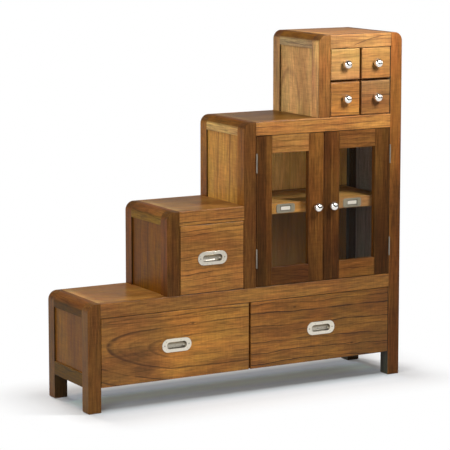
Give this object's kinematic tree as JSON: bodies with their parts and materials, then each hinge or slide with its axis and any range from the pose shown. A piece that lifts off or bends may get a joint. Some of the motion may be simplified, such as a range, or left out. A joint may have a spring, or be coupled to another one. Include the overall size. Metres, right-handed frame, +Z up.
{
  "type": "step chest",
  "caption": "Stair-shaped wooden chest with a rising row of treads, wide and small drawers, and a glazed two-door cabinet with a shelf.",
  "frame": {"origin": "on the floor, under the middle of the chest's bounding box, door and drawer knobs included", "axes": "+X along the front from the low end to the high end, +Y from the front to the rear, +Z up"},
  "size_m": [1.2, 0.3286, 1.1895],
  "materials": {
    "frame_wood": "satin lacquer, upright grain",
    "panel_wood": "satin lacquer, upright grain",
    "board_wood": "satin lacquer, grain along the front",
    "drawer_wood": "satin lacquer, bold grain along the front",
    "door_wood": "satin lacquer",
    "inner_wood": "thin matt lacquer",
    "glass": "clear float glass",
    "satin_nickel": "satin nickel",
    "polished_nickel": "polished nickel",
    "card": "plain paper card",
    "dark_metal": "dark brown magnetic catch"
  },
  "bodies": {
    "carcass": {"left_legs": "frame_wood", "step_posts": "frame_wood", "cabinet_posts": "frame_wood", "top_posts": "frame_wood", "right_posts": "frame_wood", "front_rails": "board_wood", "rear_rails": "inner_wood", "left_side_rails": "frame_wood", "right_side_rails": "frame_wood", "left_side_panels": "panel_wood", "right_side_panels": "panel_wood", "base_board": "board_wood", "step_board": "board_wood", "cabinet_board": "board_wood", "top_board": "board_wood", "back_panels": "inner_wood", "base_partition": "inner_wood", "drawer_runners": "inner_wood", "small_drawer_dividers": "inner_wood", "cabinet_shelf": "inner_wood", "shelf_edge": "board_wood", "shelf_cleats": "inner_wood", "label_holders": "satin_nickel", "label_cards": "card", "fixed_hinge_leaves": "satin_nickel", "magnetic_catches": "dark_metal"},
    "base_left_drawer": {"base_left_front": "drawer_wood", "base_left_box": "inner_wood", "base_left_pull": "satin_nickel"},
    "base_right_drawer": {"base_right_front": "drawer_wood", "base_right_box": "inner_wood", "base_right_pull": "satin_nickel"},
    "step_drawer": {"step_front": "drawer_wood", "step_box": "inner_wood", "step_pull": "satin_nickel"},
    "lower_left_drawer": {"lower_left_front": "drawer_wood", "lower_left_box": "inner_wood", "lower_left_knob": "polished_nickel"},
    "lower_right_drawer": {"lower_right_front": "drawer_wood", "lower_right_box": "inner_wood", "lower_right_knob": "polished_nickel"},
    "upper_left_drawer": {"upper_left_front": "drawer_wood", "upper_left_box": "inner_wood", "upper_left_knob": "polished_nickel"},
    "upper_right_drawer": {"upper_right_front": "drawer_wood", "upper_right_box": "inner_wood", "upper_right_knob": "polished_nickel"},
    "left_door": {"left_door_stiles": "door_wood", "left_door_rails": "door_wood", "left_door_glass": "glass", "left_door_beads": "door_wood", "left_door_knob": "polished_nickel", "left_door_hinge_leaves": "satin_nickel"},
    "right_door": {"right_door_stiles": "door_wood", "right_door_rails": "door_wood", "right_door_glass": "glass", "right_door_beads": "door_wood", "right_door_knob": "polished_nickel", "right_door_hinge_leaves": "satin_nickel"}
  },
  "joints": [
    {"name": "base_left_slide", "type": "slide", "parent": "carcass", "child": "base_left_drawer", "axis": [0, -1, 0], "range_m": [0, 0.2]},
    {"name": "base_right_slide", "type": "slide", "parent": "carcass", "child": "base_right_drawer", "axis": [0, -1, 0], "range_m": [0, 0.2]},
    {"name": "step_slide", "type": "slide", "parent": "carcass", "child": "step_drawer", "axis": [0, -1, 0], "range_m": [0, 0.2]},
    {"name": "lower_left_slide", "type": "slide", "parent": "carcass", "child": "lower_left_drawer", "axis": [0, -1, 0], "range_m": [0, 0.18]},
    {"name": "lower_right_slide", "type": "slide", "parent": "carcass", "child": "lower_right_drawer", "axis": [0, -1, 0], "range_m": [0, 0.18]},
    {"name": "upper_left_slide", "type": "slide", "parent": "carcass", "child": "upper_left_drawer", "axis": [0, -1, 0], "range_m": [0, 0.18]},
    {"name": "upper_right_slide", "type": "slide", "parent": "carcass", "child": "upper_right_drawer", "axis": [0, -1, 0], "range_m": [0, 0.18]},
    {"name": "left_door_swing", "type": "hinge", "parent": "carcass", "child": "left_door", "pos_m": [0.02375, -0.13845, 0.611], "axis": [0, 0, -1], "range_deg": [0, 100]},
    {"name": "right_door_swing", "type": "hinge", "parent": "carcass", "child": "right_door", "pos_m": [0.55325, -0.13845, 0.611], "axis": [0, 0, 1], "range_deg": [0, 100]}
  ]
}
